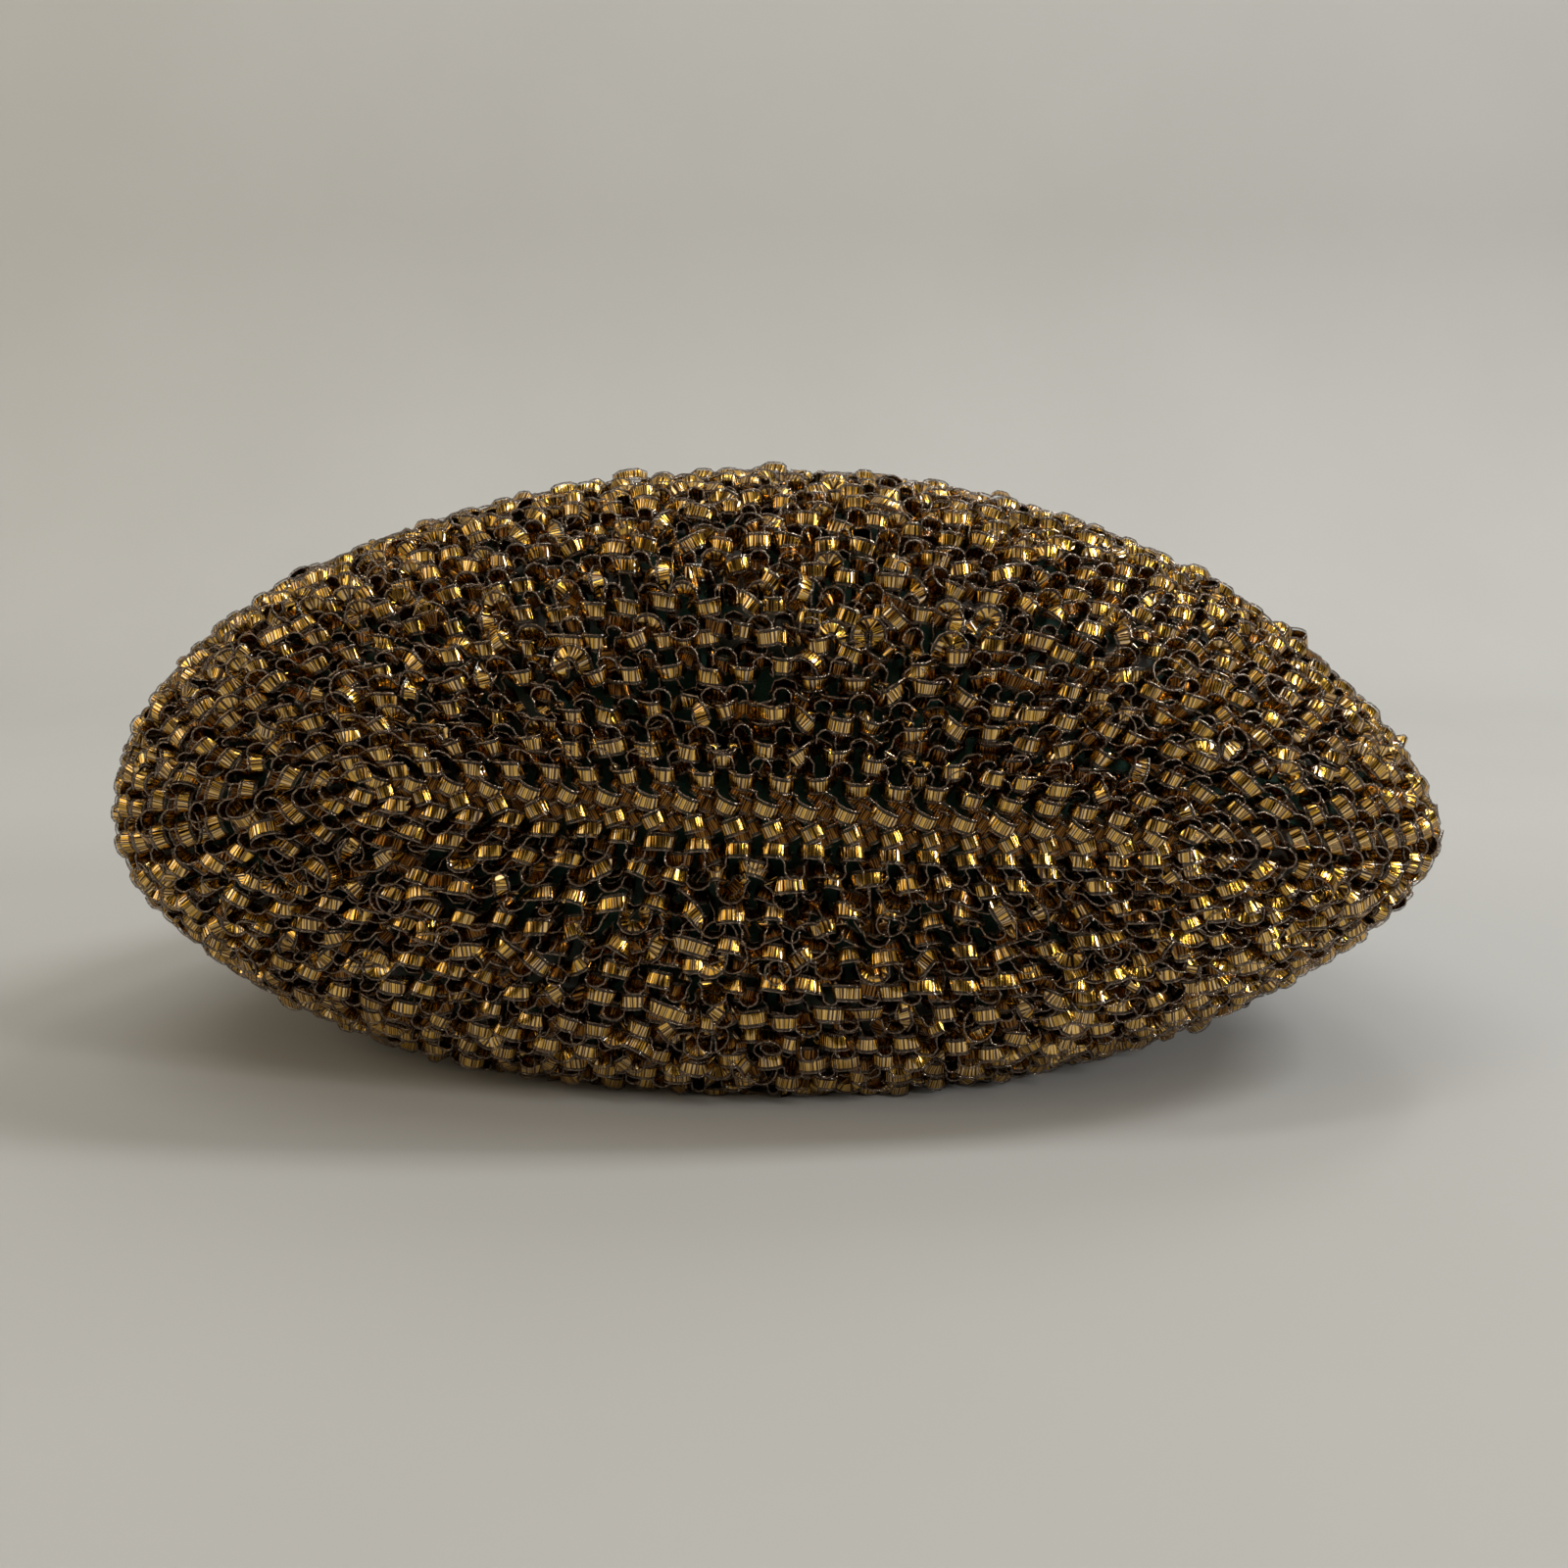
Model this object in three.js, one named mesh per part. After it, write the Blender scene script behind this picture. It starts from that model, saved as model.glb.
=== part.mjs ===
// A small lens-shaped bag knitted in the round from flat tape. It lies on its back, base seam to the front.
// Millimetres: +X to the right tip, +Y from the base seam to the mouth, +Z up from the table.
import * as THREE from 'three';

// Driving dimensions
const BAG_WIDTH = 230; // tip to tip
const BAG_DEPTH = 150; // base seam to mouth
const BAG_HEIGHT = 100; // table to crown
const ROUND_LENGTH = 180; // seam to mouth, measured over the knit
const KNIT_WALL = 4;
const LINING_WALL = 1;
const PIECE_GAP = 0.3;
const SEAM_REACH = 5; // from the seam's middle to the edge of its band, over the knit
const RIM_SETBACK = 4; // from the mouth's rim to the lining's edge, over the knit
const SEAM_LEAN = 0.075; // the seam's drop for each millimetre towards the right tip
const LEAN_REACH = 64; // from the seam to where the lean has died away, over the knit
const SEAM_RIDGE = 1.5; // how far the seam's middle stands out in front of its first round
const SEAM_FILL = 0.93; // length of that ridge against the first round's

// Sections across the bag, from the seam to the mouth, as shares of the driving dimensions. A section has two
// tips, a top and an underside, and its tapers sharpen the right tip above and below. What would lie below 0
// is pressed flat on the table.
const COLUMNS = [
  'at', 'half', 'tipDepth', 'tipHeight', 'topDepth', 'topHeight', 'lowDepth', 'lowHeight',
  'topTaper', 'lowTaper',
];
const SECTIONS = [
  [0.000, 0.539, 0.040, 0.500, 0.010, 0.540, 0.010, 0.475, 1.00, 1.00],
  [0.056, 0.626, 0.063, 0.480, 0.033, 0.650, 0.027, 0.385, 1.05, 1.00],
  [0.122, 0.735, 0.100, 0.455, 0.060, 0.765, 0.030, 0.285, 1.20, 1.10],
  [0.200, 0.852, 0.157, 0.430, 0.117, 0.885, 0.047, 0.185, 1.35, 1.15],
  [0.289, 0.952, 0.240, 0.410, 0.200, 0.972, 0.100, 0.065, 1.40, 1.20],
  [0.389, 0.998, 0.353, 0.395, 0.313, 1.000, 0.207, -0.040, 1.40, 1.20],
  [0.528, 0.985, 0.513, 0.380, 0.480, 0.960, 0.367, -0.070, 1.35, 1.20],
  [0.694, 0.922, 0.707, 0.350, 0.673, 0.820, 0.573, -0.060, 1.20, 1.10],
  [0.861, 0.843, 0.867, 0.320, 0.860, 0.640, 0.793, -0.020, 1.10, 1.00],
  [1.000, 0.783, 1.000, 0.300, 1.000, 0.500, 1.000, 0.080, 1.00, 1.00],
].map((row) => Object.fromEntries(COLUMNS.map((column, i) => [column, row[i]])));

// What one unit of each column is, in millimetres
const UNITS = {
  at: ROUND_LENGTH,
  half: BAG_WIDTH / 2,
  tipDepth: BAG_DEPTH,
  tipHeight: BAG_HEIGHT,
  topDepth: BAG_DEPTH,
  topHeight: BAG_HEIGHT,
  lowDepth: BAG_DEPTH,
  lowHeight: BAG_HEIGHT,
  topTaper: 1,
  lowTaper: 1,
};

// The runs of tip, top and underside: the column across, the one along, and the side that is outside
const RUNS = [['half', 'tipDepth', 1], ['topHeight', 'topDepth', 1], ['lowHeight', 'lowDepth', -1]];
const SLOPE_STEP = 1;

// How finely the skins are faceted: rounds as distances over the knit from the seam, steps round a section.
// All pieces share them, so that their facets lie side by side.
const MIDDLE_ROUNDS = [10, 16, 23, 31, 40, 50, 60, 72, 86, 102, 120, 138, 154, 168];
const KNIT_ROUNDS = [SEAM_REACH, ...MIDDLE_ROUNDS, ROUND_LENGTH];
const SEAM_ROUNDS = [0, SEAM_REACH - PIECE_GAP];
const LINING_ROUNDS = [0, SEAM_REACH, ...MIDDLE_ROUNDS, ROUND_LENGTH - RIM_SETBACK];
const STEPS = 64;

// Slope of one column at a section: the parabola through it and its neighbours, or the end's straight run
function slopeAt(column, i) {
  const run = (a, b) => (SECTIONS[b][column] - SECTIONS[a][column]) / (SECTIONS[b].at - SECTIONS[a].at);
  if (i === 0) return run(0, 1);
  if (i === SECTIONS.length - 1) return run(i - 1, i);
  const before = SECTIONS[i].at - SECTIONS[i - 1].at;
  const after = SECTIONS[i + 1].at - SECTIONS[i].at;
  return (run(i - 1, i) * after + run(i, i + 1) * before) / (before + after);
}

// The section at a distance over the knit, in millimetres: each column is a smooth cubic through the rows
function sectionAt(distance) {
  const at = distance / ROUND_LENGTH;
  const next = SECTIONS.findIndex((section) => section.at > at);
  const i = (next < 0 ? SECTIONS.length - 1 : next) - 1;
  const span = SECTIONS[i + 1].at - SECTIONS[i].at;
  const t = (at - SECTIONS[i].at) / span;
  const rise = (3 - 2 * t) * t * t;
  const section = {};
  for (const column of COLUMNS) {
    const ends = SECTIONS[i][column] * (1 - rise) + SECTIONS[i + 1][column] * rise;
    const leave = t * (1 - t) * (1 - t) * slopeAt(column, i);
    const arrive = t * t * (t - 1) * slopeAt(column, i + 1);
    section[column] = (ends + span * (leave + arrive)) * UNITS[column];
  }
  return section;
}

// The section of a layer under the skin: its tips, top and underside move in square to their runs
function layerSection(distance, depth) {
  const section = sectionAt(distance);
  const back = sectionAt(Math.max(0, distance - SLOPE_STEP));
  const ahead = sectionAt(Math.min(ROUND_LENGTH, distance + SLOPE_STEP));
  for (const [across, along, side] of RUNS) {
    const climb = ahead[across] - back[across];
    const run = ahead[along] - back[along];
    const share = (side * depth) / Math.hypot(climb, run);
    section[along] += share * climb;
    section[across] -= share * run;
  }
  return section;
}

// A point of the skin, or of a layer under it. turn is the angle round the section, from 0 at the right tip
// up over the top to half a turn at the left tip and back along the underside.
function skinPoint(distance, turn, depth) {
  const section = layerSection(distance, depth);
  const c = Math.cos(turn);
  const s = Math.sin(turn);
  const above = s > 0;
  const taper = c < 0 ? 1 : above ? section.topTaper : section.lowTaper;
  const farDepth = above ? section.topDepth : section.lowDepth;
  const farHeight = above ? section.topHeight : section.lowHeight;
  const x = section.half * c;
  const y = section.tipDepth * c * c + farDepth * s * s;
  const level = section.tipHeight + (farHeight - section.tipHeight) * Math.abs(s) ** taper;
  const lean = SEAM_LEAN * x * Math.max(0, 1 - distance / LEAN_REACH);
  return new THREE.Vector3(x, y - BAG_DEPTH / 2, Math.max(depth, level - lean));
}

// A point of the ridge along the seam's middle, or of a layer under it, between the first round's sides
function ridgePoint(turn, depth) {
  const point = skinPoint(0, turn, depth).lerp(skinPoint(0, -turn, depth), 0.5);
  point.x *= SEAM_FILL;
  point.y -= SEAM_RIDGE * Math.sin(turn) ** 2;
  return point;
}

const turnOf = (k) => (2 * Math.PI * k) / STEPS;

// Closed mesh from loops of points, each joined to the next. A loop with half as many points and one more
// is a line that both sides of its neighbour fold onto. The last loop joins the first unless both are lines.
// The second half of the loops comes back along the inside, and its facets split as the outside's do.
function closeLoops(loops) {
  const positions = [];
  const starts = [];
  for (const loop of loops) {
    starts.push(positions.length / 3);
    loop.forEach((point) => positions.push(point.x, point.y, point.z));
  }
  const vertex = (j, k) => {
    const around = k % STEPS;
    const folded = loops[j].length < STEPS;
    return starts[j] + (folded ? Math.min(around, STEPS - around) : around);
  };
  const index = [];
  for (let j = 0; j < loops.length; j += 1) {
    const next = (j + 1) % loops.length;
    if (loops[j].length < STEPS && loops[next].length < STEPS) continue;
    for (let k = 0; k < STEPS; k += 1) {
      const corners = [vertex(j, k), vertex(next, k), vertex(next, k + 1), vertex(j, k + 1)];
      if (j >= loops.length / 2) corners.push(corners.shift());
      index.push(corners[0], corners[1], corners[2], corners[0], corners[2], corners[3]);
    }
  }
  const geometry = new THREE.BufferGeometry();
  geometry.setAttribute('position', new THREE.Float32BufferAttribute(positions, 3));
  geometry.setIndex(index);
  geometry.computeVertexNormals();
  return geometry;
}

const roundLoop = (distance, depth) =>
  Array.from({ length: STEPS }, (_, k) => skinPoint(distance, turnOf(k), depth));

const ridgeLoop = (depth) =>
  Array.from({ length: STEPS / 2 + 1 }, (_, k) => ridgePoint(turnOf(k), depth));

// The loops of a wall, out along its outside and back along its inside
function wallLoops(rounds, depth, wall) {
  const outside = rounds.map((distance) => roundLoop(distance, depth));
  const inside = rounds.map((distance) => roundLoop(distance, depth + wall)).reverse();
  return [...outside, ...inside];
}

// A wall open at its first and last rounds
const openWall = (rounds, depth, wall) => closeLoops(wallLoops(rounds, depth, wall));

// A wall closed across the seam's middle and open at its last round
const closedWall = (rounds, depth, wall) =>
  closeLoops([ridgeLoop(depth), ...wallLoops(rounds, depth, wall), ridgeLoop(depth + wall)]);

function piece(name, geometry, look) {
  const mesh = new THREE.Mesh(geometry, new THREE.MeshStandardMaterial(look));
  mesh.name = name;
  return mesh;
}

const GOLD_TAPE = { color: 0x8a6a2a, roughness: 0.25, metalness: 0.8 };
const DARK_CLOTH = { color: 0x10221a, roughness: 0.7, metalness: 0 };

const bag = new THREE.Group();
bag.add(
  piece('knit_body', openWall(KNIT_ROUNDS, 0, KNIT_WALL), GOLD_TAPE),
  piece('base_seam', closedWall(SEAM_ROUNDS, 0, KNIT_WALL), GOLD_TAPE),
  piece('lining', closedWall(LINING_ROUNDS, KNIT_WALL + PIECE_GAP, LINING_WALL), DARK_CLOTH),
);

export default bag;
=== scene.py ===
"""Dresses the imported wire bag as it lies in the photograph.

The bag is knitted in rounds from a flat clear tape with a gold film inside. The rounds start at a chain
along the base, which faces the camera, and end at the open mouth behind. A dark green cloth lining shows
through the knit.
"""
import math

import bpy
import numpy as np
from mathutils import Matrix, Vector


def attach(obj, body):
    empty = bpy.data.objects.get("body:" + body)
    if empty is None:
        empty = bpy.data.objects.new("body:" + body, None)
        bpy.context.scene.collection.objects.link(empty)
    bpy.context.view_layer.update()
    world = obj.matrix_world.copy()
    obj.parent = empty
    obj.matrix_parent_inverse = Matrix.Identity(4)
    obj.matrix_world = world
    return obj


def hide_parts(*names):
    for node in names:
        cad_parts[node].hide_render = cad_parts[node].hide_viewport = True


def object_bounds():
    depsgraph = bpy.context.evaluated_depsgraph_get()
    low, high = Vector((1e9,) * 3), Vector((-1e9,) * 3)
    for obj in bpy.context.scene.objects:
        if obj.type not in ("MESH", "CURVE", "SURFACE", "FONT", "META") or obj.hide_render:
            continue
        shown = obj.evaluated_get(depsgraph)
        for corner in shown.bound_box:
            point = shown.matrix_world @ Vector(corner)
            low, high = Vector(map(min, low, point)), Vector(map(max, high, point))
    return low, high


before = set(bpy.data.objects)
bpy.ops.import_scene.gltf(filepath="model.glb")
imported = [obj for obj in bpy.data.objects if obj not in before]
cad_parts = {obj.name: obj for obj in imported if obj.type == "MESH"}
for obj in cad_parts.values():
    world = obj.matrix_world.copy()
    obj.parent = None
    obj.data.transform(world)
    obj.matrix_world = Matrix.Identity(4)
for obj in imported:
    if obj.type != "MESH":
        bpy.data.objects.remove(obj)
CAD_LOW, CAD_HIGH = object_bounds()

# Sizes in metres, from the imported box
BAG_WIDTH = CAD_HIGH.x - CAD_LOW.x
BAG_DEPTH = CAD_HIGH.y - CAD_LOW.y
BAG_HEIGHT = CAD_HIGH.z - CAD_LOW.z
BAG_FRONT = CAD_LOW.y
MM = 0.001
ROUND_LENGTH = 180 * MM  # seam to mouth, measured over the knit
KNIT_WALL = 4 * MM
SEAM_LEAN = 0.075  # the seam's drop for each unit of length towards the right tip
LEAN_REACH = 64 * MM  # from the seam to where the lean has died away, over the knit
SEAM_RIDGE = 1.5 * MM  # how far the seam's middle stands out in front of its first round
SEAM_FILL = 0.93  # length of the seam's ridge against its first round

# The bag's sections from the seam to the mouth, as shares of its sizes, as in the part's source
COLUMNS = {
    "at": ROUND_LENGTH, "half": BAG_WIDTH / 2,
    "tip_depth": BAG_DEPTH, "tip_height": BAG_HEIGHT,
    "top_depth": BAG_DEPTH, "top_height": BAG_HEIGHT,
    "low_depth": BAG_DEPTH, "low_height": BAG_HEIGHT,
    "top_taper": 1.0, "low_taper": 1.0,
}
SECTIONS = np.array([
    [0.000, 0.539, 0.040, 0.500, 0.010, 0.540, 0.010, 0.475, 1.00, 1.00],
    [0.056, 0.626, 0.063, 0.480, 0.033, 0.650, 0.027, 0.385, 1.05, 1.00],
    [0.122, 0.735, 0.100, 0.455, 0.060, 0.765, 0.030, 0.285, 1.20, 1.10],
    [0.200, 0.852, 0.157, 0.430, 0.117, 0.885, 0.047, 0.185, 1.35, 1.15],
    [0.289, 0.952, 0.240, 0.410, 0.200, 0.972, 0.100, 0.065, 1.40, 1.20],
    [0.389, 0.998, 0.353, 0.395, 0.313, 1.000, 0.207, -0.040, 1.40, 1.20],
    [0.528, 0.985, 0.513, 0.380, 0.480, 0.960, 0.367, -0.070, 1.35, 1.20],
    [0.694, 0.922, 0.707, 0.350, 0.673, 0.820, 0.573, -0.060, 1.20, 1.10],
    [0.861, 0.843, 0.867, 0.320, 0.860, 0.640, 0.793, -0.020, 1.10, 1.00],
    [1.000, 0.783, 1.000, 0.300, 1.000, 0.500, 1.000, 0.080, 1.00, 1.00],
]) * np.array(list(COLUMNS.values()))

# The runs of tip, top and underside: the column across, the one along, and the side that is outside
RUNS = (("half", "tip_depth", 1), ("top_height", "top_depth", 1), ("low_height", "low_depth", -1))
SLOPE_STEP, SLOPE_TURN = 1 * MM, 0.03  # steps over the knit and round it to take a slope by
TURN_STEPS = 1440  # steps to measure a round by

# The tape
TAPE_HALF, TAPE_THICK = 1.35 * MM, 0.12 * MM  # half its width and half its thickness
TAPE_CROWN = 0.12  # slope of its face at its edges
FLOOR_GAP = 0.1 * MM  # least height of the tape over the table

# The rounds of the knit
STITCH_PITCH = 5.67 * MM
ROW_PITCH = 6.1 * MM
ROW_SKEW = 0.17  # by how much the rows near the seam are closer on the top and wider apart underneath
FIRST_ROUND = 2.25 * MM
SECOND_ROUND = 6.6 * MM
LAST_ROUND = 174 * MM
KNIT_MIDDLE = 1.3 * MM  # depth of the stitches' middle under the skin
UNDER_MIDDLE = 2.7 * MM  # the same for the stitches behind them
FINE_REACH = 92 * MM  # the stitches are finer up to here, over the knit from the seam
UPRIGHT_FROM, UPRIGHT_SPAN = 75 * MM, 35 * MM  # where the bumps begin to stand upright, and over how far
BUMP_LEAN = 0.13  # how far a leaning bump's top is moved to the seam, in row pitches
BUMP_GAIN = 1.6  # how sharply a bump's own draws fade out towards the arcs
ARC_GAIN, ARC_START = 1.4, 0.2  # the same for an arc's draws, and how far they reach into the bumps
ROLL_LIFT = 0.6 * MM  # how far an arc stands out for each radian of its roll
STAGGER = 0.5  # by how much every other round is moved on, in stitch pitches
STAGGER_REACH = 3  # how far from a tip the stagger is full, in stitch pitches
TIP_CALM = 2.5  # how far from a tip the stitches become as loose as the others, in stitch pitches
TIP_LOOSE = 0.2  # how loose they are at the tip itself
SEAM_LOOSE, LOOSE_REACH = 0.3, 8 * MM  # how loose the first round is, and how far on it would be 1 looser
UNDER_LOOSE = 1.3  # how loose the stitches behind are
ROUND_BANDS = 4  # the rounds are shared out over this many pieces

# How one stitch differs from the next: the usual spread of a draw, an odd one's, and the share of odd ones
DRAWS = {
    "widen": (0.13, 0.40, 0.20),  # a bump's width, as a share
    "turned": (0.25, 0.80, 0.30),  # its turn in the knit's face, in radians
    "slide": (0.08, 0.18, 0.25),  # its place along the round, in stitch pitches
    "climb": (0.11, 0.26, 0.25),  # its place away from the seam, in row pitches
    "lift": (0.30, 0.60, 0.25),  # how far it stands out, in millimetres
    "tipped": (0.18, 0.40, 0.25),  # the slope of its face away from the seam
    "stretch": (0.14, 0.35, 0.20),  # an arc's length, as a share
    "leant": (0.07, 0.16, 0.20),  # its place along the round, in stitch pitches
    "rolled": (0.36, 0.70, 0.20),  # its roll outwards, in radians
}
DRAW_LIMIT = 2  # the widest draw, in spreads

# A stitch as the tape runs through it: a bump that shows its face, a fold behind, an arc on edge that hangs
# away from the seam, and the fold back to the next bump. Places are in stitch pitches along the round, row
# pitches away from the seam and millimetres out; the tape's face is along the round, away and out.
STITCH = np.array([
    # along  away   out    face: along, away, out
    [0.000, -0.134, 1.50, 0.0, -0.7, 1.0],
    [0.190, -0.120, 1.38, 0.35, -0.63, 0.9],
    [0.320, -0.048, 0.75, 0.85, -0.31, 0.44],
    [0.355, 0.050, -0.10, 1.0, 0.0, -0.1],
    [0.290, 0.120, -0.80, -0.2, -0.4, -0.9],
    [0.230, 0.280, -0.35, -1.0, 0.0, 0.0],
    [0.300, 0.490, 0.25, -0.7, 0.7, 0.0],
    [0.500, 0.570, 0.50, 0.0, 1.0, 0.0],
    [0.700, 0.490, 0.25, 0.7, 0.7, 0.0],
    [0.770, 0.280, -0.35, 1.0, 0.0, 0.0],
    [0.710, 0.120, -0.80, 0.2, -0.4, -0.9],
    [0.645, 0.050, -0.10, -1.0, 0.0, -0.1],
    [0.680, -0.048, 0.75, -0.85, -0.31, 0.44],
    [0.810, -0.120, 1.38, -0.35, -0.63, 0.9],
])
# Where a stitch is sampled, counted in rows of the table above, from the bump's top to the arc's middle
FINE_PLACES = (0, 0.9, 1.8, 2.7, 4.2, 5.2, 5.9, 6.5)
PLAIN_PLACES = (0, 1.0, 2.0, 3.0, 4.5, 5.4, 6.2)

# The two plain bands of tape that bind the mouth
EDGE_ROUNDS = (175.9 * MM, 178.5 * MM)
EDGE_DEPTH = 0.6 * MM
EDGE_STEPS = 360

# The loops pulled out of the knit
LOOP_COUNT = 380
LOOP_FROM = 14 * MM  # distance of the first ones from the seam
LOOP_RADII = (1.9, 3.0)  # millimetres
LOOP_TIP, LOOP_TIP_LIMIT = 0.7, 1  # spread of the angle that a loop is tipped by, and the widest, in radians
LOOP_LIFT, LOOP_LIFT_SPREAD, LOOP_LIFT_LIMITS = -0.2, 0.5, (-1.5, 0.6)  # out of the knit, in millimetres
LOOP_SINK = 2 * MM  # how far a loop may dip under the stitches' middle, not to come out inside the lining
LOOP_STEPS = 18

# The chain along the base: for each line of its legs the distance above the seam's middle, how far it stands
# out, its start along the chain in stitch pitches, half a leg's length, a leg's tilt and how far it looks up
CHAIN = (
    (1.35 * MM, 0.1 * MM, 0.00, 2.0 * MM, math.radians(-18), math.radians(-15)),
    (-1.75 * MM, 0.2 * MM, 0.22, 1.6 * MM, math.radians(26), math.radians(10)),
)
CHAIN_BEHIND = (
    (1.30 * MM, -1.2 * MM, 0.50, 1.7 * MM, math.radians(-24), 0),
    (-1.75 * MM, -1.2 * MM, 0.72, 1.5 * MM, math.radians(30), 0),
    (2.90 * MM, -2.2 * MM, 0.40, 2.0 * MM, math.radians(-30), 0),
    (-0.10 * MM, -1.8 * MM, 0.60, 1.9 * MM, math.radians(20), 0),
    (-3.20 * MM, -2.0 * MM, 0.45, 1.6 * MM, math.radians(18), 0),
)
CHAIN_REACH = 0.99  # its length against the first round's
CHAIN_START = 0.4  # room before the first leg's middle, in stitch pitches
CHAIN_SINK = 1.0 * MM  # how far the legs' middles lie behind the ridge
CHAIN_CLOSING = 0.5  # the share by which its lines close up towards its ends
LEG_SWING = 0.62 * np.pi  # half the turn that a leg's arch goes through
LEG_RISE, LEG_SINK = 1.5 * MM, 0.6 * MM  # an arch's height, and how far it is sunk
LEG_FACE = 1.5  # how much more an arch's face looks out than along
LEG_TILT_SPREAD, LEG_SIZE_SPREAD, LEG_FACE_SPREAD = 0.07, 0.06, 0.12  # in radians, as a share, as a slope
LEG_STEPS = 15

# The lining
LINING_DEPTH = KNIT_WALL + 0.6 * MM
LINING_END = ROUND_LENGTH - 2.5 * MM
LINING_THICK = 0.5 * MM
LINING_ROWS, LINING_STEPS = 60, 160
PAINTED_SHEEN_FROM = (BAG_FRONT + 8 * MM, BAG_FRONT + 22 * MM)  # where its patches of painted sheen begin, from front to back
PAINTED_SHEEN_TO = (BAG_FRONT + 45 * MM, BAG_FRONT + 65 * MM)  # where they end

# The tape's look, in places across it as shares of its half width and in changes for each metre of it
FILM_EDGE = (0.57, 0.60)  # where the film ends
RIM_EDGE = (0.86, 0.89)  # where the rim begins
ROUNDING = (0.80, 1.0)  # where the face falls away to the edge
CREASE_RATE, SHINE_RATE = 620.0, 300.0

# The paper sweep that the bag lies on, in metres
SWEEP_NEAR, SWEEP_JOINT = -2.2, -0.6  # its near end, and where the two strips of its floor meet
SWEEP_BEND, SWEEP_RADIUS, SWEEP_STEPS = 0.42, 0.25, 24  # where its bend begins, and the bend
SWEEP_TOP, SWEEP_SIDE = 2.2, 2.5  # its height and half its width

# The lights: place and aim in metres, width and height, power in watts, and colour
LIGHTS = {
    "ceiling": ((0, -0.4, 1.5), (0, -0.39, 0), (2.2, 2.2), 4.3, (1, 0.91, 0.75)),
    "lamp": ((1.32, 0.03, 1.6), (0, 0, 0.05), (0.3, 0.7), 14.5, (0.96, 1, 1.02)),
    "window": ((1.0, -0.65, 0.5), (0, 0, 0.05), (0.11, 0.42), 5.5, (1, 1, 1)),
    "skylight": ((0.34, 0.5, 0.95), (0, 0, 0.09), (0.1, 0.5), 1.2, (1, 1, 1)),
    "front_wall": ((0, -1.5, 1.25), (0, 0, 0.05), (2.2, 0.9), 2.7, (1, 0.87, 0.68)),
    "left_wall": ((-1.4, -0.5, 0.7), (0, 0, 0.05), (1.0, 1.0), 6.2, (1, 0.86, 0.64)),
    "back_wash": ((-0.3, -0.1, 1.2), (-0.5, 0.67, 0.8), (0.8, 0.3), 4.4, (0.96, 1, 1.02)),
}
ROOM_COLOUR = (0.055, 0.043, 0.029, 1)

# The camera
CAMERA_PLACE = (0.001, BAG_FRONT - 0.226, 0.097)
CAMERA_PITCH = math.radians(-10.3)
CAMERA_ANGLE = math.radians(52)

rng = np.random.default_rng(7)


def unit(vectors):
    """Each vector divided by its length."""
    return vectors / np.linalg.norm(vectors, axis=-1, keepdims=True)


def section_slopes():
    """Slope of every column at every section: the parabola through its neighbours, straight at the ends."""
    steps = np.diff(SECTIONS[:, :1], axis=0)
    runs = np.diff(SECTIONS, axis=0) / steps
    inner = (runs[:-1] * steps[1:] + runs[1:] * steps[:-1]) / (steps[1:] + steps[:-1])
    return np.vstack([runs[:1], inner, runs[-1:]])


SLOPES = section_slopes()


def sections_at(distance):
    """Columns of the section at each distance: the cubic through two neighbouring rows and their slopes."""
    at = np.clip(distance, 0, ROUND_LENGTH)
    row = np.clip(np.searchsorted(SECTIONS[:, 0], at, side="right") - 1, 0, len(SECTIONS) - 2)
    span = (SECTIONS[row + 1, 0] - SECTIONS[row, 0])[..., None]
    t = (at[..., None] - SECTIONS[row, 0][..., None]) / span
    rise = (3 - 2 * t) * t * t
    ends = SECTIONS[row] * (1 - rise) + SECTIONS[row + 1] * rise
    bend = t * (1 - t) ** 2 * SLOPES[row] + t * t * (t - 1) * SLOPES[row + 1]
    columns = ends + span * bend
    return dict(zip(COLUMNS, np.moveaxis(columns, -1, 0)))


def layer_sections(distance, depth):
    """Sections of a layer under the skin: tips, top and underside moved in square to their runs."""
    section = sections_at(distance)
    middle = np.clip(distance, SLOPE_STEP, ROUND_LENGTH - SLOPE_STEP)
    back, ahead = sections_at(middle - SLOPE_STEP), sections_at(middle + SLOPE_STEP)
    for across, along, side in RUNS:
        climb, run = ahead[across] - back[across], ahead[along] - back[along]
        share = side * depth / np.hypot(climb, run)
        section[along] = section[along] + share * climb
        section[across] = section[across] - share * run
    return section


def skin(distance, turn, depth=0.0):
    """Points of the bag's skin or a layer under it, at a distance over the knit and a turn round the section.

    Across, a section is an ellipse through its tips, top and underside, with a sharper right tip; the table
    presses its underside flat, and near the seam it leans down to the right.
    """
    distance, turn = np.broadcast_arrays(distance, turn)
    section = layer_sections(distance, depth)
    c, s = np.cos(turn), np.sin(turn)
    above = s > 0
    taper = np.where(c < 0, 1.0, np.where(above, section["top_taper"], section["low_taper"]))
    far_depth = np.where(above, section["top_depth"], section["low_depth"])
    far_height = np.where(above, section["top_height"], section["low_height"])
    x = section["half"] * c
    y = section["tip_depth"] * c * c + far_depth * s * s
    level = section["tip_height"] + (far_height - section["tip_height"]) * np.abs(s) ** taper
    lean = SEAM_LEAN * x * np.clip(1 - distance / LEAN_REACH, 0, 1)
    return np.stack([x, BAG_FRONT + y, np.maximum(depth, level - lean)], -1)


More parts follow.
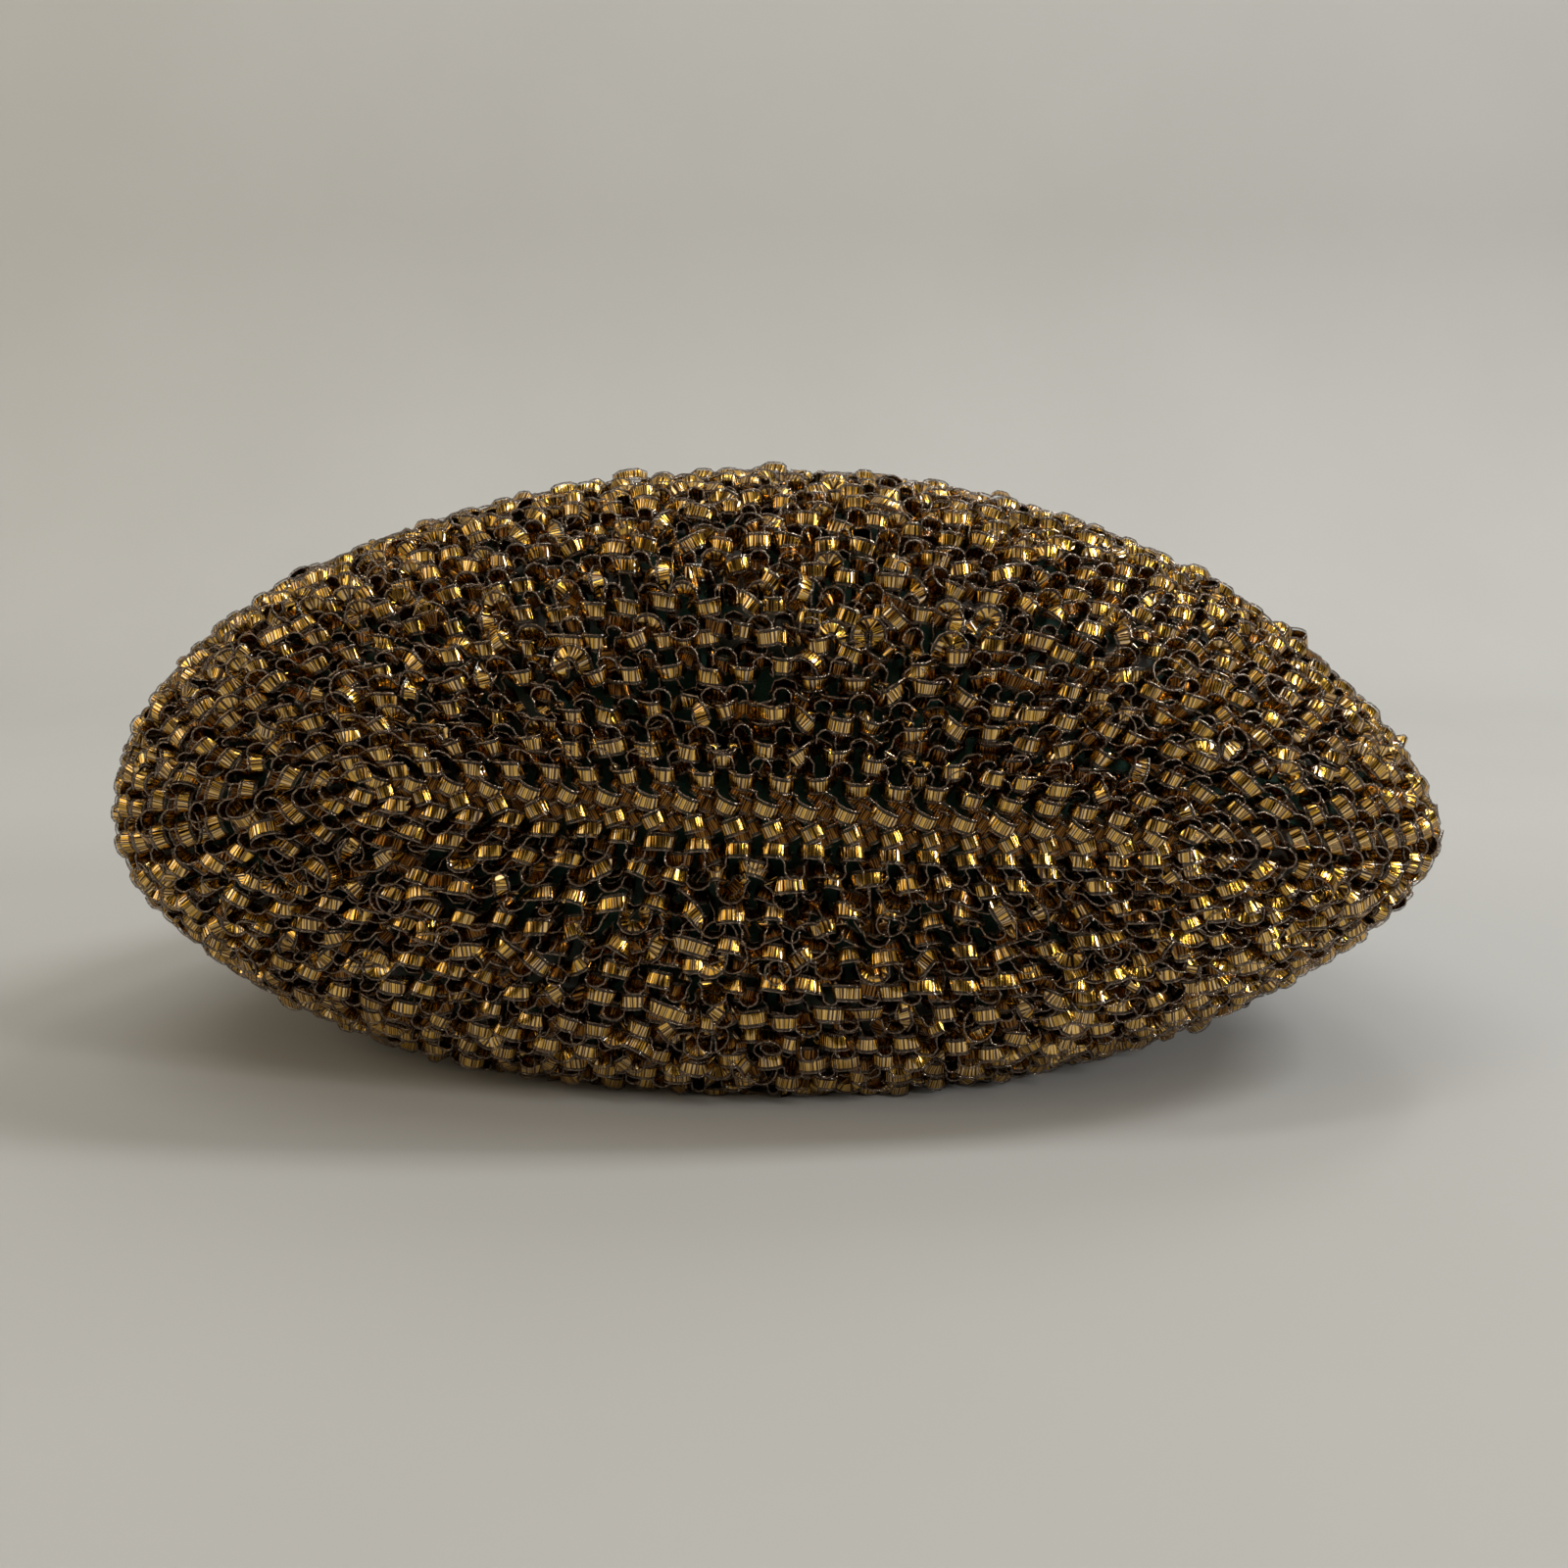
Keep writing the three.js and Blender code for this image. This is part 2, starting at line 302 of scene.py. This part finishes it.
def skin_axes(distance, turn, depth):
    """Unit axes on a layer: round it, along it from the seam, and out of it, from steps to both sides."""
    along = skin(distance + SLOPE_STEP, turn, depth) - skin(distance - SLOPE_STEP, turn, depth)
    around = skin(distance, turn + SLOPE_TURN, depth) - skin(distance, turn - SLOPE_TURN, depth)
    out = unit(np.cross(along, around))
    along = unit(along)
    return np.cross(out, along), along, out


def smooth_through(points, places):
    """Catmull-Rom curve at fractional places, counted from the second of the points."""
    i = np.clip(np.floor(places).astype(int), 0, len(points) - 4)
    t = (places - i)[:, None]
    a, b, c, d = (points[i + k] for k in range(4))
    return 0.5 * (2 * b + (c - a) * t + (2 * a - 5 * b + 4 * c - d) * t**2 + (3 * b - a - 3 * c + d) * t**3)


def stitch_curve(places):
    """The stitch sampled at places over its first half and backwards over its second, and its phases."""
    half = len(STITCH) / 2
    places = np.concatenate([places, [half], len(STITCH) - np.array(places[:0:-1])])
    on = np.array([1, 0, 0, 0, 0, 0])
    padded = np.vstack([STITCH[-1:] - on, STITCH, STITCH[:2] + on])
    return smooth_through(padded, places), places / len(STITCH)


def sweep(path, face, closed):
    """Flat tape carried along paths, its four corners set square to each path by its face.

    path and face are runs x samples x 3. Gives vertices, quads, for each vertex its place along in metres
    and across from -1 to 1, and for each quad's corners a normal: the tape's faces are a little crowned, and
    its edges are rounded from one face to the other.
    """
    runs, samples = path.shape[:2]
    if closed:
        tangent = np.roll(path, -1, 1) - np.roll(path, 1, 1)
    else:
        tangent = np.gradient(path, axis=1)
    tangent = unit(tangent)
    face = unit(face - (face * tangent).sum(-1, keepdims=True) * tangent)
    side = np.cross(tangent, face)
    steps = np.linalg.norm(np.diff(path, axis=1), axis=-1)
    along = np.concatenate([np.zeros((runs, 1)), np.cumsum(steps, 1)], 1)
    across, through = np.array([1, -1, -1, 1]), np.array([1, 1, -1, -1])
    points = (path[:, :, None] + TAPE_HALF * across[:, None] * side[:, :, None]
              + TAPE_THICK * through[:, None] * face[:, :, None])
    uv = np.stack(np.broadcast_arrays(along[:, :, None], across), -1)
    square = np.stack([face, -side, -face, side], 2)
    turned = np.stack([TAPE_CROWN * side, face, TAPE_CROWN * side, face], 2)
    swing = np.array([1, 1, -1, -1])[:, None]
    normals = np.stack([square + swing * turned, square - swing * turned], 3)
    vertex = np.arange(runs * samples * 4).reshape(runs, samples, 4)
    last = samples if closed else samples - 1
    here, ahead = vertex[:, :last], np.roll(vertex, -1, 1)[:, :last]
    near, far = normals[:, :last], np.roll(normals, -1, 1)[:, :last]
    quads = np.stack([here, ahead, np.roll(ahead, -1, 2), np.roll(here, -1, 2)], -1)
    normals = np.stack([near[..., 0, :], far[..., 0, :], far[..., 1, :], near[..., 1, :]], -2)
    return points.reshape(-1, 3), quads.reshape(-1, 4), uv.reshape(-1, 2), unit(normals).reshape(-1, 3)


def mesh_object(name, points, quads, material, uv=None, normals=None):
    """A smooth mesh object at the origin from points and quads, with the corners' normals if given."""
    mesh = bpy.data.meshes.new(name)
    mesh.vertices.add(len(points))
    mesh.vertices.foreach_set("co", np.asarray(points, np.float32).ravel())
    mesh.loops.add(quads.size)
    mesh.loops.foreach_set("vertex_index", quads.ravel().astype(np.int32))
    mesh.polygons.add(len(quads))
    mesh.polygons.foreach_set("loop_start", np.arange(0, quads.size, 4, dtype=np.int32))
    mesh.update(calc_edges=True)
    mesh.polygons.foreach_set("use_smooth", np.ones(len(quads), bool))
    if uv is not None:
        layer = mesh.uv_layers.new(name="tape")
        layer.data.foreach_set("uv", np.asarray(uv, np.float32)[quads.ravel()].ravel())
    if normals is not None:
        mesh.normals_split_custom_set(normals)
    mesh.materials.append(material)
    obj = bpy.data.objects.new(name, mesh)
    bpy.context.scene.collection.objects.link(obj)
    return obj


def round_places(distance):
    """How many stitches a round takes over its top and in all, and the turn of any stitch place.

    Places are counted from the right tip, evenly over the top and then evenly over the underside, so that
    both tips fall on whole places.
    """
    turn = np.linspace(0, 2 * np.pi, TURN_STEPS + 1)
    steps = np.linalg.norm(np.diff(skin(distance, turn, KNIT_MIDDLE), axis=0), axis=1)
    length = np.concatenate([[0], np.cumsum(steps)])
    half, whole = length[TURN_STEPS // 2], length[-1]
    top = round(half / STITCH_PITCH)
    count = top + round((whole - half) / STITCH_PITCH)

    def turn_at(place):
        laps, rest = np.divmod(place, count)
        passed = np.interp(rest, [0, top, count], [0, half, whole])
        return laps * 2 * np.pi + np.interp(passed, length, turn)

    return top, count, turn_at


def mostly(count, usual, odd, share):
    """Normal draws of spread usual, with a share of them of spread odd, none beyond the limit."""
    spread = np.where(rng.random(count) < share, odd, usual)
    return np.clip(rng.normal(0, 1, count), -DRAW_LIMIT, DRAW_LIMIT) * spread


def from_tips(place, top, count):
    """How far places along a round of count stitches are from the nearer tip: the tips are at 0 and top."""
    return np.minimum(np.abs(place - top), np.minimum(np.abs(place), np.abs(count - place)))


def knit_round(distance, stagger, middle, places, loose):
    """One round of knit as a closed tape path and its face: the stitch curve repeated along the round.

    Each bump is widened, turned and moved a little, and each arc is lengthened, leant and turned, by draws
    of its own that fade out between bump and arc. loose scales the draws. A pair of bumps meets at each tip,
    and further on the stitches move on by stagger. The bumps lean to the seam, and stand upright near the
    mouth.
    """
    top, stitches, turn_at = round_places(distance)
    curve, phase = stitch_curve(places)
    beat = np.cos(2 * np.pi * phase)
    bump = np.clip(BUMP_GAIN * beat, 0, 1)
    arc = np.clip(ARC_START - ARC_GAIN * beat, 0, 1)
    upright = np.clip((distance - UPRIGHT_FROM) / UPRIGHT_SPAN, 0, 1) * bump
    curve[:, 1] += BUMP_LEAN * upright
    curve[:, 4] *= 1 - upright
    calm = np.clip(from_tips(np.arange(stitches) + 0.5, top, stitches) / TIP_CALM, TIP_LOOSE, 1)
    draw = {name: mostly(stitches, *spread) * (loose * calm) for name, spread in DRAWS.items()}
    nearest = np.where(phase < 0.5, 0, 1)

    def of_bump(name):
        both = np.stack([draw[name], np.roll(draw[name], -1)], 1)
        return both[:, nearest] * bump

    def of_arc(name):
        return draw[name][:, None] * arc

    run = (curve[:, 0] - nearest) * (1 + of_bump("widen"))
    angle = of_bump("turned")
    along = np.arange(stitches)[:, None] + nearest + run * np.cos(angle) + of_bump("slide") + of_arc("leant")
    climbed = run * np.sin(angle) * STITCH_PITCH / ROW_PITCH + of_bump("climb")
    away = (curve[:, 1] + climbed) * (1 + of_arc("stretch"))
    out = (curve[:, 2] + of_bump("lift")) * MM + np.abs(of_arc("rolled")) * ROLL_LIFT
    face = np.tile(curve[:, 3:], (stitches, 1, 1))
    face[..., 1] += of_bump("tipped")
    face[..., 2] += np.tan(draw["rolled"])[:, None] * arc
    turn = turn_at(along + 0.5 + stagger * np.clip(from_tips(along, top, stitches) / STAGGER_REACH, 0, 1))
    reach = np.clip(distance + away * ROW_PITCH, 0, ROUND_LENGTH)
    reach = reach * (1 - ROW_SKEW * np.sin(turn) * (1 - reach / ROUND_LENGTH))
    around_axis, along_axis, out_axis = skin_axes(reach, turn, middle)
    path = skin(reach, turn, middle) + out[..., None] * out_axis
    faces = face[..., :1] * around_axis + face[..., 1:2] * along_axis + face[..., 2:] * out_axis
    return path.reshape(1, -1, 3), faces.reshape(1, -1, 3)


def pulled_loops():
    """Loops pulled out of the knit: circles of tape on edge, placed, sized and tipped by their own draws.

    What would dip deeper into the knit than the sink is raised to it.
    """
    distance = rng.uniform(LOOP_FROM, LAST_ROUND, LOOP_COUNT)
    turn = rng.uniform(0, 2 * np.pi, LOOP_COUNT)
    around_axis, along_axis, out_axis = skin_axes(distance, turn, KNIT_MIDDLE)
    each = (LOOP_COUNT, 1)
    swing = rng.uniform(0, 2 * np.pi, each)
    tip = np.clip(rng.normal(0, LOOP_TIP, each), -LOOP_TIP_LIMIT, LOOP_TIP_LIMIT)
    first = np.cos(swing) * around_axis + np.sin(swing) * along_axis
    second = np.cos(swing) * along_axis - np.sin(swing) * around_axis
    second = np.cos(tip) * second + np.sin(tip) * out_axis
    radius = rng.uniform(*LOOP_RADII, (LOOP_COUNT, 1, 1)) * MM
    lift = np.clip(rng.normal(LOOP_LIFT, LOOP_LIFT_SPREAD, each), *LOOP_LIFT_LIMITS) * MM
    angle = np.linspace(0, 2 * np.pi, LOOP_STEPS, endpoint=False)[None, :, None]
    face = np.cos(angle) * first[:, None] + np.sin(angle) * second[:, None]
    centre = skin(distance, turn, KNIT_MIDDLE) + lift * out_axis
    height = lift[:, None] + radius * np.sin(angle) * np.sin(tip)[:, None]
    raised = np.maximum(-LOOP_SINK - height, 0) * out_axis[:, None]
    return centre[:, None] + radius * face + raised, face


def chain_line(centre, along, up, out, half, tilt, roll):
    """One line of the chain's legs: arches that lie along the chain, tilted, with both ends folded behind.

    A leg is a little more than half an ellipse, as long as the sine of its swing and as high as the cosine.
    """
    each = (len(centre), 1, 1)
    swing = np.linspace(-LEG_SWING, LEG_SWING, LEG_STEPS)[None, :, None]
    lean = tilt + rng.normal(0, LEG_TILT_SPREAD, each)
    size = half * (1 + rng.normal(0, LEG_SIZE_SPREAD, each))
    level = np.cos(lean) * along + np.sin(lean) * up
    out = math.cos(roll) * out + math.sin(roll) * up
    rise = LEG_RISE * np.cos(swing) - LEG_SINK
    path = centre[:, None] + size * np.sin(swing) * level + rise * out
    face = LEG_FACE * np.cos(swing) * out + np.sin(swing) * level + rng.normal(0, LEG_FACE_SPREAD, each) * up
    return path, face


class Wire:
    """A socket of a material's node tree. Arithmetic between wires and numbers adds Math nodes."""

    def __init__(self, tree, socket=None):
        self.tree = tree
        self.socket = socket

    def add(self, kind, settings=None, inputs=None, output=0):
        """Adds a node: its settings first, then its sockets' values or links; gives one of its outputs."""
        node = self.tree.nodes.new(kind)
        for name, value in (settings or {}).items():
            if name == "stops":
                set_stops(node.color_ramp, value)
            else:
                setattr(node, name, value)
        for name, value in (inputs or {}).items():
            socket = node.inputs[name]
            if isinstance(value, Wire):
                self.tree.links.new(value.socket, socket)
            else:
                socket.default_value = value
        return Wire(self.tree, node.outputs[output] if len(node.outputs) else None)

    def math(self, operation, first, second=0.0):
        return self.add("ShaderNodeMath", {"operation": operation}, {0: first, 1: second})

    def __add__(self, other):
        return self.math("ADD", self, other)

    def __sub__(self, other):
        return self.math("SUBTRACT", self, other)

    def __mul__(self, other):
        return self.math("MULTIPLY", self, other)

    def __rsub__(self, other):
        return self.math("SUBTRACT", other, self)

    __radd__ = __add__
    __rmul__ = __mul__

    def other(self, output):
        """Another output of the same node."""
        return Wire(self.tree, self.socket.node.outputs[output])

    def rise(self, low, high):
        """A value that is 0 up to low, 1 from high on, and in proportion between them."""
        return self.add("ShaderNodeMapRange", None, {"Value": self, "From Min": low, "From Max": high})

    def mix(self, low, high):
        """A colour between two, wires or plain colours, by this value."""
        low, high = (end if isinstance(end, Wire) else (*end, 1) for end in (low, high))
        settings = {"data_type": "RGBA", "clamp_factor": True}
        return self.add("ShaderNodeMix", settings, {0: self, 6: low, 7: high}, 2)


def set_stops(ramp, stops):
    """Sets a ramp's stops from (position, value) pairs."""
    while len(ramp.elements) < len(stops):
        ramp.elements.new(1.0)
    for element, (position, value) in zip(ramp.elements, stops):
        element.position = position
        element.color = (value, value, value, 1)


def new_material(name):
    """An empty material and a wire to write its nodes with."""
    material = bpy.data.materials.new(name)
    material.use_nodes = True
    material.node_tree.nodes.clear()
    return material, Wire(material.node_tree)


def show(wire, settings):
    """Ends a material with a shader of these sockets."""
    shader = wire.add("ShaderNodeBsdfPrincipled", None, settings)
    wire.add("ShaderNodeOutputMaterial", None, {"Surface": shader})


def gold_tape(name, low, high, coat):
    """Clear tape over a gold film: creased gold in the middle, darkened along each crease by painted shading
    and changed along the tape by painted light, clear beside it, rims that catch the light.
    """
    material, wire = new_material(name)
    tape = wire.add("ShaderNodeUVMap", {"uv_map": "tape"})
    along = wire.add("ShaderNodeSeparateXYZ", None, {0: tape})
    side = wire.math("ABSOLUTE", along.other("Y"))
    clear = side.rise(*FILM_EDGE)
    rim = side.rise(*RIM_EDGE)
    fall = side.rise(*ROUNDING)
    line = {"noise_dimensions": "1D"}
    fine = wire.add("ShaderNodeTexNoise", line, {"W": along * CREASE_RATE, "Detail": 1.0})
    slow = wire.add("ShaderNodeTexNoise", line, {"W": along * SHINE_RATE, "Detail": 1.0})
    crease_shading_mask = fine.rise(0.45, 0.51)  # 0 along the film's crease lines, where painted shading darkens the gold, 1 between them
    glint = fine.rise(0.56, 0.60)  # 1 in the streaks where the clear tape shines most
    shine = slow.rise(0.35, 0.65)  # painted light that changes slowly along the tape, over the film and the rims
    # painted shading along each crease and painted light along the tape set the gold's brightness
    gold = (crease_shading_mask * (shine * 0.6 + 0.45)).mix(low, high)
    # the rims' colour, brighter and darker with the painted light
    plastic = shine.mix((0.025, 0.010, 0.006), (0.09, 0.060, 0.045))
    relief = fine * 0.12 + slow * 0.04 - fall * fall * 0.12
    satin = fine * 0.10 + 0.12
    show(wire, {
        "Base Color": clear.mix(gold, plastic),
        "Metallic": 1.0 - clear,
        "Roughness": satin * (1.0 - clear) + clear * 0.06,
        "Normal": wire.add("ShaderNodeBump", None, {"Strength": 1.0, "Distance": 1 * MM, "Height": relief}),
        # the rims show more where the painted light is brighter
        "Alpha": 1.0 - clear * 0.85 + rim * (shine * 0.5 + 0.3),
        "Coat Weight": (glint * 0.85 + 0.15) * (coat - clear * (coat * 0.7)),
        "Coat Roughness": 0.03,
        "Coat IOR": 3.2,
        "IOR": 2.5,
        "Specular Tint": (1.0, 0.78, 0.58, 1.0),
    })
    return material


def lining_cloth():
    """Dark green satin with a fine weave, nearly black so that it also stands for the shadow in the knit's
    gaps, and paler patches of painted sheen over its front.
    """
    material, wire = new_material("lining_cloth")
    place = wire.add("ShaderNodeTexCoord", None, None, "Object")
    patches = wire.add("ShaderNodeTexNoise", None, {"Vector": place, "Scale": 90.0, "Detail": 3.0})
    weave = wire.add("ShaderNodeTexNoise", None, {"Vector": place, "Scale": 2500.0, "Detail": 1.0})
    # pale patches of painted sheen on the satin, only over its front
    sheen_patches = wire.add("ShaderNodeValToRGB", {"stops": [(0.52, 0.0), (0.62, 1.0)]}, {0: patches})
    depth = wire.add("ShaderNodeSeparateXYZ", None, {0: place}).other("Y")
    # where the painted sheen shows: the patches, between the two depths
    painted_sheen = sheen_patches * depth.rise(*PAINTED_SHEEN_FROM) * (1.0 - depth.rise(*PAINTED_SHEEN_TO))
    show(wire, {
        # near-black green, partly standing for the shadow in the knit's gaps, and the pale colour of the
        # painted sheen
        "Base Color": (painted_sheen + weave * 0.1).mix((0.004, 0.040, 0.022), (0.30, 0.30, 0.28)),
        "Roughness": 0.85 - painted_sheen * 0.2,
        "Normal": wire.add("ShaderNodeBump", None, {"Strength": 0.4, "Distance": 0.2 * MM, "Height": weave}),
        "Specular IOR Level": 0.2,
    })
    return material


def pale_paper():
    """Pale matt paper with a faint mottle."""
    material, wire = new_material("pale_paper")
    place = wire.add("ShaderNodeTexCoord", None, None, "Object")
    mottle = wire.add("ShaderNodeTexNoise", None, {"Vector": place, "Scale": 9.0, "Detail": 4.0})
    show(wire, {
        "Base Color": mottle.mix((0.505, 0.50, 0.48), (0.555, 0.55, 0.535)),
        "Roughness": 0.8,
        "Specular IOR Level": 0.2,
    })
    return material


# the low colour is the painted shading along the film's crease lines
GOLD = gold_tape("gold_tape", (0.06, 0.016, 0.003), (0.94, 0.56, 0.065), 1.0)
# the same tape with darker colours and less coat: painted shading for the stitches and chain legs that lie
# deeper
PAINTED_SHADE_GOLD = gold_tape("shaded_tape", (0.03, 0.008, 0.001), (0.26, 0.115, 0.016), 0.1)


def place_piece(piece, node):
    """Lets a piece ride on the bag's one body and stand for a node."""
    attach(piece, "root")
    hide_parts(node)


def tape_piece(name, strips, closed, node, look):
    """Tape along several sets of paths, as one piece that stands for a node."""
    made = [sweep(path, face, closed) for path, face in strips]
    points, quads, uvs, normals = (list(parts) for parts in zip(*made))
    starts = np.cumsum([0] + [len(part) for part in points[:-1]])
    quads = np.concatenate([part + start for part, start in zip(quads, starts)])
    points = np.concatenate(points)
    points[:, 2] = np.maximum(points[:, 2], CAD_LOW.z + FLOOR_GAP)
    piece = mesh_object(name, points, quads, look, np.concatenate(uvs), np.concatenate(normals))
    place_piece(piece, node)


def make_knit():
    """The knit's rounds from seam to mouth, the stitches behind, the mouth's edge and the pulled loops."""
    rounds = np.concatenate([[FIRST_ROUND], np.arange(SECOND_ROUND, LAST_ROUND, ROW_PITCH)])
    front, behind = [], []
    for i, distance in enumerate(rounds):
        stagger = STAGGER * (i % 2)
        places = FINE_PLACES if distance < FINE_REACH else PLAIN_PLACES
        loose = np.clip(SEAM_LOOSE + (distance - FIRST_ROUND) / LOOSE_REACH, 0, 1)
        front.append(knit_round(distance, stagger, KNIT_MIDDLE, places, loose))
        between = distance + ROW_PITCH / 2
        behind.append(knit_round(between, stagger, UNDER_MIDDLE, PLAIN_PLACES, UNDER_LOOSE))
    for name, strips, look in (("knit", front, GOLD), ("knit_behind", behind, PAINTED_SHADE_GOLD)):
        sizes = np.cumsum([path.shape[1] for path, _ in strips])
        band = np.minimum((sizes - 1) * ROUND_BANDS // sizes[-1], ROUND_BANDS - 1)
        for b in range(ROUND_BANDS):
            picked = [strip for strip, own in zip(strips, band) if own == b]
            tape_piece(f"{name}_{b + 1}", picked, True, "knit_body", look)
    turn = np.linspace(0, 2 * np.pi, EDGE_STEPS, endpoint=False)
    edge = np.repeat(np.array(EDGE_ROUNDS)[:, None], EDGE_STEPS, 1)
    bands = (skin(edge, turn, EDGE_DEPTH), skin_axes(edge, turn, EDGE_DEPTH)[2])
    tape_piece("mouth_edge", [bands], True, "knit_body", GOLD)
    tape_piece("knit_loops", [pulled_loops()], True, "knit_body", GOLD)


def make_seam():
    """The chain along the base: V stitches lying on the ridge, pointing to the right tip.

    The ridge runs from the first round's tips to its middle as the square of the place along it.
    """
    first = sections_at(np.array(0.0))
    ridge = SEAM_FILL * first["half"]
    reach = CHAIN_REACH * first["half"]
    count = int(2 * reach / STITCH_PITCH)
    pitch = 2 * reach / (count + CHAIN_START)
    middle = (first["top_height"] + first["low_height"]) / 2
    level = unit(np.array([1, 0, -SEAM_LEAN]))
    up = unit(np.array([SEAM_LEAN, 0, 1]))
    out = np.array([0.0, -1.0, 0.0])
    for name, lines, look in (("seam_chain", CHAIN, GOLD), ("seam_behind", CHAIN_BEHIND, PAINTED_SHADE_GOLD)):
        legs = []
        for above, stand, start, half, tilt, roll in lines:
            x = (np.arange(count) + CHAIN_START + start) * pitch - reach
            share = np.clip((x / ridge) ** 2, 0, 1)
            y = first["tip_depth"] * share + (first["top_depth"] - SEAM_RIDGE) * (1 - share)
            z = middle + (first["tip_height"] - middle) * share - SEAM_LEAN * x
            centre = np.stack([x, BAG_FRONT + y + CHAIN_SINK, z], -1)
            shift = above * (1 - CHAIN_CLOSING * share)[:, None] * up + stand * out
            legs.append(chain_line(centre + shift, level, up, out, half, tilt, roll))
        tape_piece(name, legs, False, "base_seam", look)


def make_lining():
    """The cloth bag inside the knit: a layer just under it, closed along the base and open at the mouth.

    Its first row is a fold, the middle line between the first ring's top and underside.
    """
    distance = np.linspace(0, LINING_END, LINING_ROWS)
    turn = np.linspace(0, 2 * np.pi, LINING_STEPS, endpoint=False)
    rings = skin(distance[:, None], turn[None, :], LINING_DEPTH)
    around = np.arange(LINING_STEPS)
    ridge = (rings[0] + rings[0, -around]) / 2
    ridge[:, 0] *= SEAM_FILL
    ridge = ridge[:LINING_STEPS // 2 + 1]
    points = np.concatenate([ridge, rings.reshape(-1, 3)])
    fold = np.minimum(around, LINING_STEPS - around)
    ring_rows = len(ridge) + np.arange(LINING_ROWS * LINING_STEPS).reshape(LINING_ROWS, -1)
    rows = np.vstack([fold, ring_rows])
    following = np.roll(rows, -1, 1)
    quads = np.stack([rows[:-1], rows[1:], following[1:], following[:-1]], -1).reshape(-1, 4)
    piece = mesh_object("lining_cloth", points, quads, lining_cloth())
    solid = piece.modifiers.new("thickness", "SOLIDIFY")
    solid.thickness = LINING_THICK
    solid.offset = -1
    place_piece(piece, "lining")


def make_stage():
    """A pale paper sweep: a floor that curves up through a quarter circle into a wall behind the bag."""
    angle = np.linspace(0, math.pi / 2, SWEEP_STEPS)
    wall = SWEEP_BEND + SWEEP_RADIUS
    y = np.concatenate([[SWEEP_NEAR, SWEEP_JOINT], SWEEP_BEND + SWEEP_RADIUS * np.sin(angle), [wall]])
    z = np.concatenate([[0, 0], SWEEP_RADIUS * (1 - np.cos(angle)), [SWEEP_TOP]])
    x = np.array([[-SWEEP_SIDE, SWEEP_SIDE]])
    points = np.stack(np.broadcast_arrays(x, y[:, None], z[:, None]), -1)
    index = np.arange(len(y) * 2).reshape(-1, 2)
    quads = np.stack([index[:-1, 0], index[:-1, 1], index[1:, 1], index[1:, 0]], -1)
    floor = mesh_object("paper_sweep", points.reshape(-1, 3), quads, pale_paper())


def make_lights():
    """A pale ceiling, a lamp and a window on the right, a skylight behind and pale walls, in a dim room.

    One more light washes the paper behind the bag.
    """
    for name, (place, target, size, power, colour) in LIGHTS.items():
        data = bpy.data.lights.new(name, "AREA")
        data.shape = "RECTANGLE"
        data.size, data.size_y = size
        data.energy = power
        data.color = colour
        obj = bpy.data.objects.new(name, data)
        bpy.context.scene.collection.objects.link(obj)
        obj.location = place
        obj.rotation_euler = (Vector(target) - obj.location).to_track_quat("-Z", "Y").to_euler()
    world = bpy.data.worlds.new("room")
    world.use_nodes = True
    world.node_tree.nodes["Background"].inputs["Color"].default_value = ROOM_COLOUR
    bpy.context.scene.world = world
    bpy.context.scene.view_settings.view_transform = "Standard"


def make_camera():
    """A phone-like camera close in front of the bag, level with its crown and looking down a little."""
    data = bpy.data.cameras.new("camera")
    data.sensor_fit = "HORIZONTAL"
    data.angle = CAMERA_ANGLE
    data.clip_start = 10 * MM
    obj = bpy.data.objects.new("camera", data)
    bpy.context.scene.collection.objects.link(obj)
    obj.location = CAMERA_PLACE
    obj.rotation_euler = (math.pi / 2 + CAMERA_PITCH, 0, 0)
    bpy.context.scene.camera = obj


make_camera()
make_stage()
make_lights()
make_lining()
make_seam()
make_knit()
